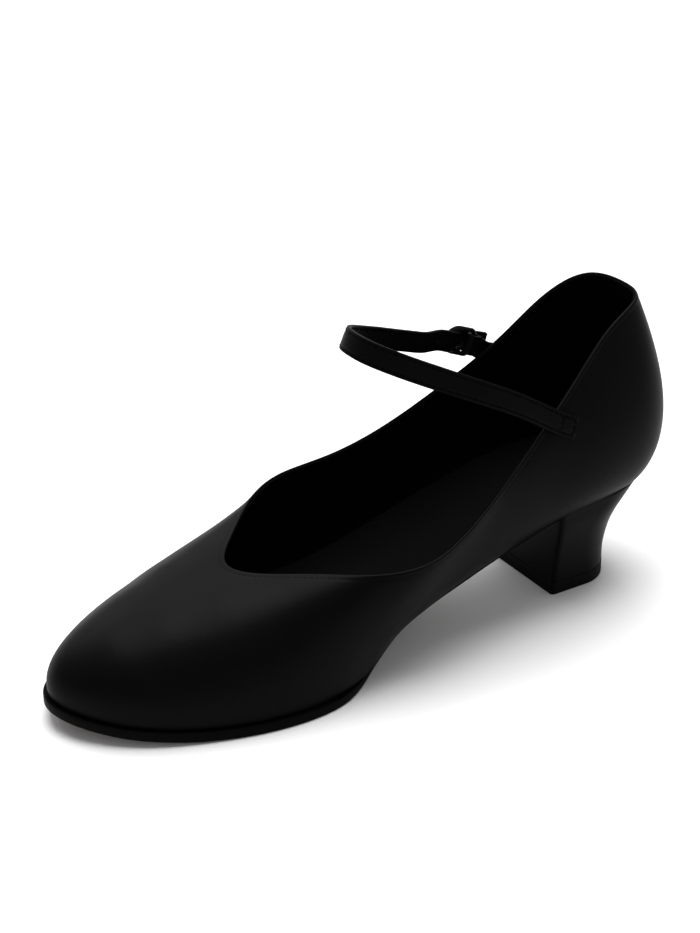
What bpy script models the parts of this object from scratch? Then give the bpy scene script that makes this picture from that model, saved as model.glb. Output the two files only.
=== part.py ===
"""A right-foot character shoe: a low-cut leather pump with a block heel and one buckled strap.

Metres, +Z up. The origin is the middle of the heel's tread, on the floor. +X points to the toe and
+Y to the inner side of the foot. Sizes below are in millimetres and become metres when a mesh is made.
"""

import math

import bmesh
import bpy
import numpy as np

MM = 0.001

# Gaps and thicknesses
GAP = 0.3
UPPER_WALL = 1.6
FOREPART_THICKNESS = 4.0
WAIST_THICKNESS = 3.0
THICKENS_FROM = 80.0
THICKENS_TO = 100.0
INSOLE_THICKNESS = 2.2
INSOLE_INSET = 2.1

# Outsole
WELT_LEDGE = 1.6
WAIST_LEDGE = -1.0
LEDGE_FROM = 96.0
LEDGE_TO = 122.0
EDGE_ROUND = 0.7
WAIST_BEVEL = 2.4
WAIST_BEVEL_RISE = 1.7

# Heel
HEEL_TOP_LEVEL = 39.2
TIP_HEIGHT = 5.6
TIP_OVERHANG = 0.25
TIP_EDGE = 0.4
BREAST_CORNER = 1.5
BREAST_TOP = 19.0

# Strap, tab and buckle
STRAP_WIDTH = 8.0
STRAP_THICKNESS = 1.6
STRAP_EDGE = 0.4
TAB_WIDTH = 7.6
TAB_THICKNESS = 1.2
WIRE = 0.9
FRAME_LENGTH = 10.6
FRAME_HALF_WIDTH = 5.4
FRAME_FRONT_RADIUS = 4.8
FRAME_BAR_RADIUS = 1.6
FRAME_TILT = 1.4
PRONG = 0.6
HOLE_FROM_BAR = 4.77
HOLE_WIDTH = 2.2
HOLE_LENGTH = 7.0
NOTCH_WIDTH = 2.6
NOTCH_FROM = -2.9
NOTCH_TO = 6.0

# Mesh fineness
AROUND = 96
UP = 9
OUTLINE_POINTS = 480
PLATE_STATIONS = 44
PLATE_END = 0.03
HEEL_SIDE = 22
HEEL_LAYER = 3.0
STRAP_STATIONS = 84
TAB_STATIONS = 40
PRONG_STATIONS = 30

# Underside of the sole from heel seat to toe: distance along the shoe, height
SOLE_LINE = (
    (-40, 39.0), (-30, 38.5), (0, 36.5), (18, 34.0), (40, 25.5), (60, 16.0), (80, 7.6),
    (98, 1.6), (112, 0.0), (150, 0.0), (165, 0.4), (185, 2.3), (208, 6.4), (215, 8.2),
)

# The upper's wall, one row for each meridian, from the middle of the back round the inner side to
# the toe and home along the outer side. foot: where it meets the sole. low_out, low_up: the lower
# handle, measured from the foot, square to the outline. high: the upper handle. top: the topline.
MERIDIAN_COLUMNS = (
    "foot_x", "foot_y", "low_out", "low_up", "high_x", "high_y", "high_z", "top_x", "top_y", "top_z",
)
MERIDIANS = (
    # back of the heel
    (-32.5, 0, 10, 18, -34, 1, 85, -22.5, 0, 110),
    # inner side: quarter, heel, breast, arch, arch, waist, ball, ball, joint, toe, corner
    (-24, 18, 12, 18, -25.5, 20, 85, -17.5, 13.5, 109),
    (-6, 25, 11.5, 14, -5.5, 26.5, 77.5, -2, 18.5, 102.5),
    (17, 25.5, 11, 11, 14.5, 30, 68, 15.5, 23, 88.5),
    (41, 22.5, 10.5, 9, 37, 34, 56, 37, 28.5, 71.5),
    (65, 19.5, 10.5, 9, 60, 34.5, 44.5, 57, 33.5, 57),
    (86, 21.5, 8.5, 10.5, 79, 37, 37, 76, 37.5, 47),
    (104, 31, 3.5, 13.5, 95.5, 39.5, 35.5, 92, 38, 44),
    (125, 38, 1.5, 15, 115, 35.5, 38, 106.5, 33, 44),
    (150, 36.5, 2, 15.5, 134, 30.5, 40, 119, 23.5, 43.5),
    (176, 28, 2.5, 16, 153.5, 22.5, 38, 129.5, 14, 42),
    (195, 15.5, 3, 18.5, 169, 13, 35.5, 137, 6, 41),
    # tip of the toe
    (205, -2.5, 4, 19, 175, 0, 34, 140, -1, 41),
    # outer side, the same stations back to the heel
    (195.5, -19, 3.5, 18.5, 169, -12, 35.5, 137.5, -7.5, 42),
    (178.5, -31, 4, 17, 153.5, -22, 37.5, 130.5, -15, 43.5),
    (156.5, -39, 4.5, 16, 134, -29.5, 39, 121, -24.5, 45),
    (132.5, -42, 4.5, 14.5, 116.5, -35, 37, 110, -33.5, 46.5),
    (110, -41, 4, 14, 98, -40, 34.5, 96, -39, 47.5),
    (88, -38, 4, 12.5, 77.5, -39.5, 36.5, 77.5, -38, 50),
    (63, -34, 5, 12, 58, -37, 44, 58, -33.5, 58),
    (39, -30, 7, 12.5, 38, -33.5, 55.5, 37.5, -28, 71),
    (16, -27, 9, 13.5, 15.5, -30, 67.5, 16, -22.5, 87),
    (-7, -25.5, 10, 15.5, -4.5, -27, 77, -1.5, -19.5, 101.5),
    (-24.5, -18, 11, 18.5, -25, -20, 84.5, -17, -14, 109.5),
)

# Heel sections: level above the tread, front face, half width, back, depth of the round back as a
# share of the half width
HEEL_SECTIONS = (
    (0.0, 16.0, 19.2, -16.7, 0.85),
    (6.0, 16.2, 19.9, -16.3, 0.87),
    (12.0, 16.5, 20.6, -16.1, 0.90),
    (18.0, 16.9, 21.6, -16.9, 0.94),
    (24.0, 17.4, 22.8, -18.6, 0.98),
    (29.0, 17.9, 23.9, -21.2, 1.00),
    (33.5, 18.4, 24.7, -24.9, 1.02),
    (37.0, 18.8, 25.1, -29.0, 1.04),
    (39.2, 19.0, 25.3, -32.2, 1.05),
)

# The strap's middle line over the instep, from the inner collar round the apex to the buckle
STRAP_LOOP = (
    (35.5, 27, 82.6), (44, 25.9, 87.5), (53, 24.3, 92), (62, 22.1, 96.2), (71, 19.4, 100.4),
    (79.5, 16, 104.3), (86.8, 11, 107.6), (91.6, 4.6, 109.7), (91.8, -4.6, 109.7), (87, -11.4, 107.4),
    (79.5, -16.3, 103.8), (70.5, -19.8, 100), (61.5, -22.3, 96.4), (52.5, -24, 93), (45.5, -24.7, 90.6),
)
STRAP_AXIS = (-0.39, 0.0, 0.92)
STRAP_LEAN = 0.015

# Where the strap and the tab are sewn on: meridian number, share of the wall's height, slack
STRAP_SEAT = ((3.19, 0.79, 0.2), (3.54, 0.955, 0.3))
TAB_SEAT = ((21.42, 0.80, 0.1), (21.10, 0.875, 0.2), (20.78, 0.985, 0.8))

# The strap grows out of its seam's own plane over this distance along it, and the tab over its own
STRAP_TURNS = (2.0, 24.0)
TAB_TURNS = (9.0, 19.0)

# Bar of the buckle, and the strap's direction through the buckle
BUCKLE_BAR = (25.2, -25.5, 85.4)
BUCKLE_FORWARD = (0.94, -0.03, 0.32)

# The strap through the buckle: distance from the bar, share of the way from under the frame's front
# to over the bar, lift
THROUGH_BUCKLE = (
    (15.1, 0.0, -0.5), (9.8, 0.0, -0.5), (4.77, 0.5, 0.0),
    (0.3, 1.0, 0.1), (-4.5, 1.0, 0.5), (-9.0, 1.0, 0.6),
)

# The tab's fold round the bar, in degrees, and its points beside the bar: along, across, out
TAB_FOLD = (112, -84, 8)
TAB_RISE = (-2.3, -0.1, 0.8)
TAB_END = (-1.8, 0.0, -1.75)

# The prong's curl round the bar, in degrees, and its run over the strap and the frame's front:
# distance from the bar, share of the way from the curl's top to the frame's top, lift
PRONG_CURL = (-50, -85, -120, -155, -190, -225, -255)
PRONG_RUN = ((1.6, 0.0, 0.05), (4.77, 0.0, 0.3), (8.6, 1.0, -0.2), (11.0, 1.0, 0.0), (12.2, 1.0, -0.3))


def clear_scene():
    for old in list(bpy.data.objects):
        bpy.data.objects.remove(old, do_unlink=True)


def unit(vector):
    vector = np.asarray(vector, float)
    return vector / np.linalg.norm(vector)


def blend(low, high, x):
    """A smooth step from 0 at low to 1 at high."""
    s = np.clip((np.asarray(x, float) - low) / (high - low), 0.0, 1.0)
    return s * s * (3.0 - 2.0 * s)


def steady_curve(rows, x):
    """A smooth curve through the rows that never overshoots them."""
    xs, ys = (np.array(column, float) for column in zip(*rows))
    span = np.diff(xs)
    slope = np.diff(ys) / span
    tangent = np.concatenate(([slope[0]], 0.5 * (slope[1:] + slope[:-1]), [slope[-1]]))
    for i in range(1, len(xs) - 1):
        before, after = slope[i - 1], slope[i]
        if before * after <= 0.0:
            tangent[i] = 0.0
        else:
            weight = 2.0 * span[i] + span[i - 1], span[i] + 2.0 * span[i - 1]
            tangent[i] = sum(weight) / (weight[0] / before + weight[1] / after)
    x = np.clip(np.asarray(x, float), xs[0], xs[-1])
    k = np.clip(np.searchsorted(xs, x, side="right") - 1, 0, len(span) - 1)
    u = (x - xs[k]) / span[k]
    return (
        ys[k] * (1 + 2 * u) * (1 - u) ** 2
        + tangent[k] * span[k] * u * (1 - u) ** 2
        + ys[k + 1] * u * u * (3 - 2 * u)
        + tangent[k + 1] * span[k] * u * u * (u - 1)
    )


def spline_controls(points, closed):
    """Control points of the cubic B-spline that passes through the points."""
    n = len(points)
    matrix = np.zeros((n, n))
    for i in range(n):
        if closed or 0 < i < n - 1:
            matrix[i, (i - 1) % n] += 1 / 6
            matrix[i, i] += 4 / 6
            matrix[i, (i + 1) % n] += 1 / 6
        else:
            matrix[i, i] = 1.0
    return np.linalg.solve(matrix, np.asarray(points, float))


def spline(controls, t, closed):
    """Points of a cubic B-spline at parameters t, counted in control points."""
    t = np.atleast_1d(np.asarray(t, float))
    n = len(controls)
    if closed:
        i = np.floor(t).astype(int)
        before, here, after, beyond = (controls[(i + k) % n] for k in (-1, 0, 1, 2))
    else:
        i = np.clip(np.floor(t).astype(int), 0, n - 2)
        ends = np.vstack([2 * controls[0] - controls[1], controls, 2 * controls[-1] - controls[-2]])
        before, here, after, beyond = (ends[i + k] for k in (0, 1, 2, 3))
    u = (t - i)[:, None]
    return (
        (1 - u) ** 3 * before
        + (3 * u**3 - 6 * u**2 + 4) * here
        + (-3 * u**3 + 3 * u**2 + 3 * u + 1) * after
        + u**3 * beyond
    ) / 6


def sole_top(x):
    """Top of the outsole and of the heel's seat."""
    thickness = WAIST_THICKNESS + (FOREPART_THICKNESS - WAIST_THICKNESS) * blend(
        THICKENS_FROM, THICKENS_TO, x
    )
    return steady_curve(SOLE_LINE, x) + thickness - GAP


def outward(line):
    """Unit directions out of a closed plan line that runs from the back round the inner side."""
    along = np.roll(line, -1, axis=0) - np.roll(line, 1, axis=0)
    out = np.stack([-along[:, 1], along[:, 0]], axis=1)
    return out / np.linalg.norm(out, axis=1)[:, None]


class Upper:
    """The outer face of the upper: four closed splines, joined by a cubic curve up each meridian."""

    def __init__(self):
        column = dict(zip(MERIDIAN_COLUMNS, np.array(MERIDIANS, float).T))
        foot = np.stack([column["foot_x"], column["foot_y"]], axis=1)
        foot_z = sole_top(foot[:, 0]) + GAP
        low = foot + outward(foot) * column["low_out"][:, None]
        rings = (
            np.column_stack([foot, foot_z]),
            np.column_stack([low, foot_z + column["low_up"]]),
            np.stack([column["high_x"], column["high_y"], column["high_z"]], axis=1),
            np.stack([column["top_x"], column["top_y"], column["top_z"]], axis=1),
        )
        self.rings = [spline_controls(ring, closed=True) for ring in rings]

    def point(self, t, h):
        foot, low, high, top = (spline(ring, t, closed=True) for ring in self.rings)
        h = np.asarray(h, float)
        h = h[..., None] if h.ndim else h
        return (
            (1 - h) ** 3 * foot + 3 * (1 - h) ** 2 * h * low + 3 * (1 - h) * h**2 * high + h**3 * top
        )

    def normal(self, t, h, step=0.01):
        inner = min(h + step, 1.0)
        up = self.point(t, inner)[0] - self.point(t, inner - 2 * step)[0]
        along = self.point(t + step, h)[0] - self.point(t - step, h)[0]
        return unit(np.cross(up, along))

    def lifted(self, t, h, lift):
        return self.point(t, h)[0] + self.normal(t, h) * lift

    def foot_outline(self, inset):
        """The line where the wall meets the sole, moved inwards in plan by inset(x)."""
        t = np.linspace(0, len(MERIDIANS), OUTLINE_POINTS, endpoint=False)
        line = self.point(t, 0.0)[:, :2]
        return line - outward(line) * inset(line[:, 0])[:, None]


def make_material(name, colour, roughness, metallic=0.0):
    material = bpy.data.materials.new(name)
    material.use_nodes = True
    shader = material.node_tree.nodes["Principled BSDF"]
    shader.inputs["Base Color"].default_value = (*colour, 1.0)
    shader.inputs["Roughness"].default_value = roughness
    shader.inputs["Metallic"].default_value = metallic
    material.diffuse_color = (*colour, 1.0)
    return material


def make_object(name, points, faces, material, sharp_angle=40.0):
    mesh = bpy.data.meshes.new(name)
    mesh.from_pydata([tuple(MM * float(c) for c in p) for p in points], [], faces)
    mesh.materials.append(material)
    work = bmesh.new()
    work.from_mesh(mesh)
    bmesh.ops.recalc_face_normals(work, faces=work.faces)
    work.to_mesh(mesh)
    work.free()
    mesh.shade_smooth()
    mesh.set_sharp_from_angle(angle=math.radians(sharp_angle))
    made = bpy.data.objects.new(name, mesh)
    bpy.context.scene.collection.objects.link(made)
    return made


def ring_faces(rings, around):
    """Quads between neighbouring closed rings of the same count."""
    faces = []
    for r in range(rings - 1):
        for i in range(around):
            j = (i + 1) % around
            faces.append((r * around + i, r * around + j, (r + 1) * around + j, (r + 1) * around + i))
    return faces


def strip_cap(first, side):
    """Faces across a ring made of one side and then the other side in reverse."""
    last = first + 2 * side - 1
    return [(first + i, first + i + 1, last - i - 1, last - i) for i in range(side - 1)]


def stacked(name, rings, side, material, sharp_angle=40.0):
    """A solid from rings stacked on each other, closed by strips at both ends."""
    points = np.vstack(rings)
    around = 2 * side
    faces = ring_faces(len(rings), around)
    faces += strip_cap(0, side) + strip_cap((len(rings) - 1) * around, side)
    return make_object(name, points, faces, material, sharp_angle)


def sweep(name, middle, across, through, section, material, sharp_angle=40.0):
    """A ribbon or bar: a section (across, through pairs) carried along a line with its two directions."""
    rings = []
    for centre, side, thick in zip(middle, across, through):
        rings.append([centre + a * side + b * thick for a, b in section])
    around = len(section)
    faces = ring_faces(len(rings), around)
    faces.append(tuple(range(around)))
    faces.append(tuple((len(rings) - 1) * around + i for i in range(around)))
    return make_object(name, np.array(rings).reshape(-1, 3), faces, material, sharp_angle)


def plate_ring(outline, stations, z, back_cut=None):
    """Points of an outline at evenly eased stations: inner side from back to toe, then outer side."""
    back, front = int(np.argmin(outline[:, 0])), int(np.argmax(outline[:, 0]))
    loop = np.roll(outline, -back, axis=0)
    front = (front - back) % len(outline)
    inner, outer = loop[: front + 1], np.vstack([loop[front:], loop[:1]])[::-1]
    x_back, x_front = loop[0, 0], loop[front, 0]
    if back_cut is None:
        turn = math.pi * np.linspace(PLATE_END, 1 - PLATE_END, stations)
        x = x_back + (x_front - x_back) * 0.5 * (1 - np.cos(turn))
    else:
        turn = 0.5 * math.pi * np.linspace(0, 1 - PLATE_END / (1 - PLATE_END), stations)
        x = back_cut + (x_front - back_cut) * np.sin(turn)
    inner_side, outer_side = (
        np.column_stack([x, np.interp(x, side[:, 0], side[:, 1]), z(x)]) for side in (inner, outer)
    )
    return np.vstack([inner_side, outer_side[::-1]])


def make_upper(shape, material):
    t = np.linspace(0, len(MERIDIANS), AROUND, endpoint=False)
    heights = np.linspace(0.0, 1.0, UP + 1)
    rings = [shape.point(t, h) for h in heights]
    upper = make_object("upper", np.vstack(rings), ring_faces(len(rings), AROUND), material)
    if upper.data.polygons[0].normal.dot(upper.data.polygons[0].center) < 0:
        upper.data.flip_normals()
    wall = upper.modifiers.new("wall", "SOLIDIFY")
    wall.thickness = UPPER_WALL * MM
    wall.offset = -1.0
    wall.use_even_offset = True
    wall.use_quality_normals = True
    return upper


def from_waist(waist, forepart, x):
    """A size that changes from its value at the waist to its value at the forepart."""
    return waist + (forepart - waist) * blend(LEDGE_FROM, LEDGE_TO, x)


def make_outsole(shape, material):
    """Forepart and waist in one piece, from the heel's breast to the toe, with a bevelled waist."""

    def edge(cut_in):
        return lambda x: cut_in(x) - from_waist(WAIST_LEDGE, WELT_LEDGE, x)

    layers = (
        (edge(lambda x: from_waist(WAIST_BEVEL, EDGE_ROUND, x)), lambda x: steady_curve(SOLE_LINE, x)),
        (edge(np.zeros_like),
         lambda x: steady_curve(SOLE_LINE, x) + from_waist(WAIST_BEVEL_RISE, EDGE_ROUND, x)),
        (edge(np.zeros_like), lambda x: sole_top(x) - EDGE_ROUND * 0.5),
        (edge(lambda x: np.full_like(x, EDGE_ROUND * 0.5)), sole_top),
    )
    rings = []
    for inset, height in layers:
        outline = shape.foot_outline(inset)
        rings.append(plate_ring(outline, PLATE_STATIONS, height, back_cut=BREAST_TOP + GAP))
    return stacked("outsole", rings, PLATE_STATIONS, material)


def make_insole(shape, material):
    layers = (
        (0.0, lambda x: sole_top(x) + GAP),
        (0.0, lambda x: sole_top(x) + GAP + INSOLE_THICKNESS * 0.6),
        (EDGE_ROUND, lambda x: sole_top(x) + GAP + INSOLE_THICKNESS),
    )
    rings = []
    for inset, height in layers:
        outline = shape.foot_outline(lambda x, inset=inset: np.full_like(x, INSOLE_INSET + inset))
        rings.append(plate_ring(outline, PLATE_STATIONS, height))
    return stacked("insole", rings, PLATE_STATIONS, material)


def heel_ring(level, grow=0.0):
    """One section of the heel: flat breast, small front corners, straight sides and a round back."""
    rows = np.array(HEEL_SECTIONS)
    front, half, back, share = (
        float(steady_curve(rows[:, (0, k)].tolist(), level)) for k in range(1, 5)
    )
    front, half, back = front + grow, half + grow, back - grow
    corner = BREAST_CORNER
    points = []
    for angle in np.radians((0, 45, 90)):
        points.append(
            (front - corner + corner * math.cos(angle), half - corner + corner * math.sin(angle))
        )
    depth = share * half
    centre = back + depth
    for angle in np.linspace(0.5 * math.pi, math.pi - 0.04, HEEL_SIDE - len(points)):
        points.append((centre + depth * math.cos(angle), half * math.sin(angle)))
    inner = np.array(points)
    outer = inner[::-1] * (1, -1)
    plan = np.vstack([inner, outer])
    seat_rise = sole_top(plan[:, 0]) - HEEL_TOP_LEVEL
    height = level + seat_rise * (level / HEEL_TOP_LEVEL) ** 3
    return np.column_stack([plan, height])


def make_heel_block(material):
    levels = np.linspace(
        TIP_HEIGHT + GAP, HEEL_TOP_LEVEL, round((HEEL_TOP_LEVEL - TIP_HEIGHT) / HEEL_LAYER) + 1
    )
    stacked("heel_block", [heel_ring(level) for level in levels], HEEL_SIDE, material)


def make_heel_tip(material):
    rings = []
    for level, cut_in in ((0.0, TIP_EDGE), (TIP_EDGE, 0.0), (TIP_HEIGHT, 0.0)):
        ring = heel_ring(level, TIP_OVERHANG - cut_in)
        ring[:, 2] = level
        rings.append(ring)
    stacked("heel_tip", rings, HEEL_SIDE, material)


def strap_axis(y):
    """The direction across the strap: it leans in at the top on both sides of the instep."""
    y = np.asarray(y, float)
    return np.stack([STRAP_AXIS[0] + 0 * y, -STRAP_LEAN * y, STRAP_AXIS[2] + 0 * y], axis=-1)


class Buckle:
    """Directions at the buckle: forward along the strap, across it and away from the foot."""

    def __init__(self):
        self.bar = np.array(BUCKLE_BAR, float)
        self.forward = unit(BUCKLE_FORWARD)
        axis = strap_axis(self.bar[1])
        self.across = unit(axis - self.forward * axis.dot(self.forward))
        self.out = np.cross(self.forward, self.across)

    def place(self, along, across, out):
        return self.bar + along * self.forward + across * self.across + out * self.out


def flat_section(width, thickness, edge):
    """A ribbon's section with its long edges eased."""
    a, b = width / 2, thickness / 2
    return (
        (a, -b + edge), (a, b - edge), (a - edge, b), (-a + edge, b),
        (-a, b - edge), (-a, -b + edge), (-a + edge, -b), (a - edge, -b),
    )


def round_section(radius, count=8):
    turn = [2 * math.pi * i / count for i in range(count)]
    return [(radius * math.cos(angle), radius * math.sin(angle)) for angle in turn]


def directions(middle):
    """Unit direction at each point of a line."""
    step = np.gradient(middle, axis=0)
    return step / np.linalg.norm(step, axis=1)[:, None]


def ribbon_frames(middle, guide):
    """Across and through directions of a ribbon, from a guide direction at each point."""
    along = directions(middle)
    across = guide - along * np.sum(guide * along, axis=1)[:, None]
    across /= np.linalg.norm(across, axis=1)[:, None]
    return across, np.cross(along, across)


def even_points(points, count):
    """Points at even distances along the spline through the given points."""
    controls = spline_controls(points, closed=False)
    dense = spline(controls, np.linspace(0, len(points) - 1, 40 * len(points)), closed=False)
    travelled = np.concatenate(([0], np.cumsum(np.linalg.norm(np.diff(dense, axis=0), axis=1))))
    wanted = np.linspace(0, travelled[-1], count)
    return np.column_stack([np.interp(wanted, travelled, dense[:, k]) for k in range(3)]), wanted


def make_strap(shape, buckle, material):
    lift = GAP + STRAP_THICKNESS / 2
    seat = [shape.lifted(t, h, lift + slack) for t, h, slack in STRAP_SEAT]
    over_bar = WIRE + GAP + TAB_THICKNESS + GAP + STRAP_THICKNESS / 2
    under_rim = FRAME_TILT - WIRE - GAP - STRAP_THICKNESS / 2
    through_buckle = [
        buckle.place(along, 0, under_rim + (over_bar - under_rim) * share + lift_off)
        for along, share, lift_off in THROUGH_BUCKLE
    ]
    points = seat + [np.array(p, float) for p in STRAP_LOOP] + through_buckle
    middle, travelled = even_points(points, STRAP_STATIONS)
    start = shape.normal(*STRAP_SEAT[0][:2])
    sewn = np.cross(directions(middle)[0], start)
    sewn *= np.sign(sewn.dot(np.array(STRAP_AXIS)))
    share = blend(*STRAP_TURNS, travelled)[:, None]
    guide = unit(sewn) * (1 - share) + strap_axis(middle[:, 1]) * share
    across, through = ribbon_frames(middle, guide)
    section = flat_section(STRAP_WIDTH, STRAP_THICKNESS, STRAP_EDGE)
    strap = sweep("strap", middle, across, through, section, material)
    hole = sweep(
        "prong_hole",
        [buckle.place(HOLE_FROM_BAR, 0, height) for height in (-6.0, 8.0)],
        [buckle.across] * 2,
        [buckle.forward] * 2,
        [(a * HOLE_WIDTH / 2, b * HOLE_LENGTH / 2) for a, b in round_section(1.0, 12)],
        material,
    )
    hole.hide_render = True
    hole.display_type = "WIRE"
    cut = strap.modifiers.new("prong hole", "BOOLEAN")
    cut.operation = "DIFFERENCE"
    cut.object = hole
    return strap


def make_tab(shape, buckle, material):
    """The short tab on the outer side: sewn to the wall, folded round the bar and back."""
    lift = GAP + TAB_THICKNESS / 2
    seat = [shape.lifted(t, h, lift + slack) for t, h, slack in TAB_SEAT]
    wrap = WIRE + GAP + TAB_THICKNESS / 2
    fold = [
        buckle.place(wrap * math.cos(angle), 0, wrap * math.sin(angle))
        for angle in np.radians(np.linspace(*TAB_FOLD))
    ]
    points = seat + [buckle.place(*TAB_RISE)] + fold + [buckle.place(*TAB_END)]
    middle, travelled = even_points(points, TAB_STATIONS)
    along = unit(middle[4] - middle[0])
    sewn = np.cross(shape.normal(*TAB_SEAT[1][:2]), along)
    sewn *= np.sign(sewn.dot(np.array(STRAP_AXIS)))
    share = blend(*TAB_TURNS, travelled)[:, None]
    guide = unit(sewn) * (1 - share) + buckle.across * share
    across, through = ribbon_frames(middle, guide)
    section = flat_section(TAB_WIDTH, TAB_THICKNESS, 0.3)
    tab = sweep("buckle_tab", middle, across, through, section, material)
    notch = sweep(
        "prong_notch",
        [buckle.place(along_strap, 0, 0.0) for along_strap in (NOTCH_FROM, NOTCH_TO)],
        [buckle.across] * 2,
        [buckle.out] * 2,
        [(a * NOTCH_WIDTH / 2, b * 5.0) for a, b in ((1, -1), (1, 1), (-1, 1), (-1, -1))],
        material,
    )
    notch.hide_render = True
    notch.display_type = "WIRE"
    cut = tab.modifiers.new("prong notch", "BOOLEAN")
    cut.operation = "DIFFERENCE"
    cut.object = notch
    return tab


def frame_loop(steps=6):
    """Middle line of the buckle's frame: a straight bar at the back and a round front."""
    corners = (
        (FRAME_BAR_RADIUS, FRAME_HALF_WIDTH - FRAME_BAR_RADIUS, FRAME_BAR_RADIUS, 90, 180),
        (FRAME_BAR_RADIUS, -FRAME_HALF_WIDTH + FRAME_BAR_RADIUS, FRAME_BAR_RADIUS, 180, 270),
        (FRAME_LENGTH - FRAME_FRONT_RADIUS, -FRAME_HALF_WIDTH + FRAME_FRONT_RADIUS,
         FRAME_FRONT_RADIUS, 270, 360),
        (FRAME_LENGTH - FRAME_FRONT_RADIUS, FRAME_HALF_WIDTH - FRAME_FRONT_RADIUS,
         FRAME_FRONT_RADIUS, 0, 90),
    )
    loop = []
    for along, across, radius, first, last in corners:
        for angle in np.radians(np.linspace(first, last, steps)):
            loop.append((along + radius * math.cos(angle), across + radius * math.sin(angle)))
    return loop


def make_frame(buckle, material):
    rings = []
    tilt = unit(FRAME_LENGTH * buckle.forward + FRAME_TILT * buckle.out)
    square = np.cross(tilt, buckle.across)
    loop = [buckle.bar + a * tilt + c * buckle.across for a, c in frame_loop()]
    centre = np.mean(loop, axis=0)
    count = len(loop)
    for i, point in enumerate(loop):
        along = unit(loop[(i + 1) % count] - loop[i - 1])
        side = unit(np.cross(square, along))
        side *= np.sign(side.dot(point - centre))
        rings.append([point + WIRE * (c * side + s * square) for c, s in round_section(1.0)])
    around = len(rings[0])
    last = (count - 1) * around
    faces = ring_faces(count, around)
    for i in range(around):
        j = (i + 1) % around
        faces.append((last + i, last + j, j, i))
    return make_object("buckle_frame", np.array(rings).reshape(-1, 3), faces, material, 60.0)


def make_prong(buckle, material):
    """A wire prong: curled round the bar, through the strap's hole and over the front of the frame."""
    curl = WIRE + GAP + PRONG
    rest = FRAME_TILT + WIRE + GAP + PRONG
    line = [(curl * math.cos(angle), curl * math.sin(angle)) for angle in np.radians(PRONG_CURL)]
    line += [(along, curl + (rest - curl) * share + lift) for along, share, lift in PRONG_RUN]
    middle, _ = even_points([buckle.place(a, 0, b) for a, b in line], PRONG_STATIONS)
    guide = np.tile(buckle.across, (len(middle), 1))
    across, through = ribbon_frames(middle, guide)
    return sweep("buckle_prong", middle, across, through, round_section(PRONG), material, 60.0)


def main():
    clear_scene()
    shape = Upper()
    buckle = Buckle()
    leather = make_material("black leather", (0.012, 0.012, 0.013), 0.42)
    lining = make_material("dark sock lining", (0.03, 0.03, 0.032), 0.75)
    edge = make_material("sole leather, black edge", (0.02, 0.014, 0.012), 0.55)
    cover = make_material("heel cover", (0.014, 0.013, 0.013), 0.45)
    rubber = make_material("heel tip rubber", (0.01, 0.01, 0.01), 0.7)
    strap_leather = make_material("strap leather", (0.014, 0.014, 0.015), 0.45)
    tab_leather = make_material("tab leather", (0.015, 0.015, 0.016), 0.5)
    metal = make_material("dark nickel", (0.35, 0.35, 0.36), 0.3, 1.0)
    prong_metal = make_material("dark nickel wire", (0.35, 0.35, 0.36), 0.3, 1.0)
    make_upper(shape, leather)
    make_outsole(shape, edge)
    make_insole(shape, lining)
    make_heel_block(cover)
    make_heel_tip(rubber)
    make_strap(shape, buckle, strap_leather)
    make_tab(shape, buckle, tab_leather)
    make_frame(buckle, metal)
    make_prong(buckle, prong_metal)


main()
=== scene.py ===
"""Looks of the character shoe: leather, lining, stitching, sole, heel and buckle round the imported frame.

Lengths are in millimetres and become metres when a mesh is made. The origin is the middle of the
heel's tread, +X points to the toe, +Y to the inner side of the foot.
"""

import math

import bmesh
import bpy
import numpy as np
from mathutils import Matrix, Vector


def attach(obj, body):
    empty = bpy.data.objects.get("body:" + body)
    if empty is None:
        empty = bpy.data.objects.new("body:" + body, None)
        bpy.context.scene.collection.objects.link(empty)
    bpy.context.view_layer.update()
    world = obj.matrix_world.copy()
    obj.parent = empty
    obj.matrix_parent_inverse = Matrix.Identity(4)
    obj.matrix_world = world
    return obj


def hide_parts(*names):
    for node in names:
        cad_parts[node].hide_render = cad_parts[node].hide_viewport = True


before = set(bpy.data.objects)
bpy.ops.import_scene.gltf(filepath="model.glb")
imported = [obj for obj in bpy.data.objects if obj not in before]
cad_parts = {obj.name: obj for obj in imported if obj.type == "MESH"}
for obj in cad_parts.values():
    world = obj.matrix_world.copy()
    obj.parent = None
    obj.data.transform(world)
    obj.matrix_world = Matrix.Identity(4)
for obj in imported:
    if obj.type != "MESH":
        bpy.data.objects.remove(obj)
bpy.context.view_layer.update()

MM = 0.001
MERGE = 0.000002

# Camera: the photograph's angle, in metres, and its lens and sensor height in millimetres
CAMERA_PLACE = (0.378928, 0.4413065, 0.3359183)
CAMERA_RIGHT = (-0.8424, 0.5387, 0.0119)
CAMERA_UP = (-0.2373, -0.3909, 0.8893)
CAMERA_FORWARD = (-0.4837, -0.7464, -0.4572)
CAMERA_LENS = 67.44
SENSOR_HEIGHT = 36.0

# Last and sole; a negative ledge lies inside the upper's foot, and the underside is told by the cosine
# of its slope
GAP = 0.3
UPPER_WALL = 1.6
LEATHER = 0.95
LINING_FROM = 1.0
LINING_DROP = 0.2
FOREPART_THICKNESS = 4.0
WAIST_THICKNESS = 3.0
THICKENS_FROM = 80.0
THICKENS_TO = 100.0
WELT_LEDGE = 1.6
WAIST_LEDGE = -1.0
LEDGE_FROM = 96.0
LEDGE_TO = 122.0
EDGE_ROUND = 0.7
TOP_EDGE_ROUND = 0.35
WAIST_BEVEL = 2.4
WAIST_BEVEL_RISE = 1.7
UNDERSIDE_FROM = 0.75
MARGIN_INSET = 0.15
MARGIN_LIFT = 0.05

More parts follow.
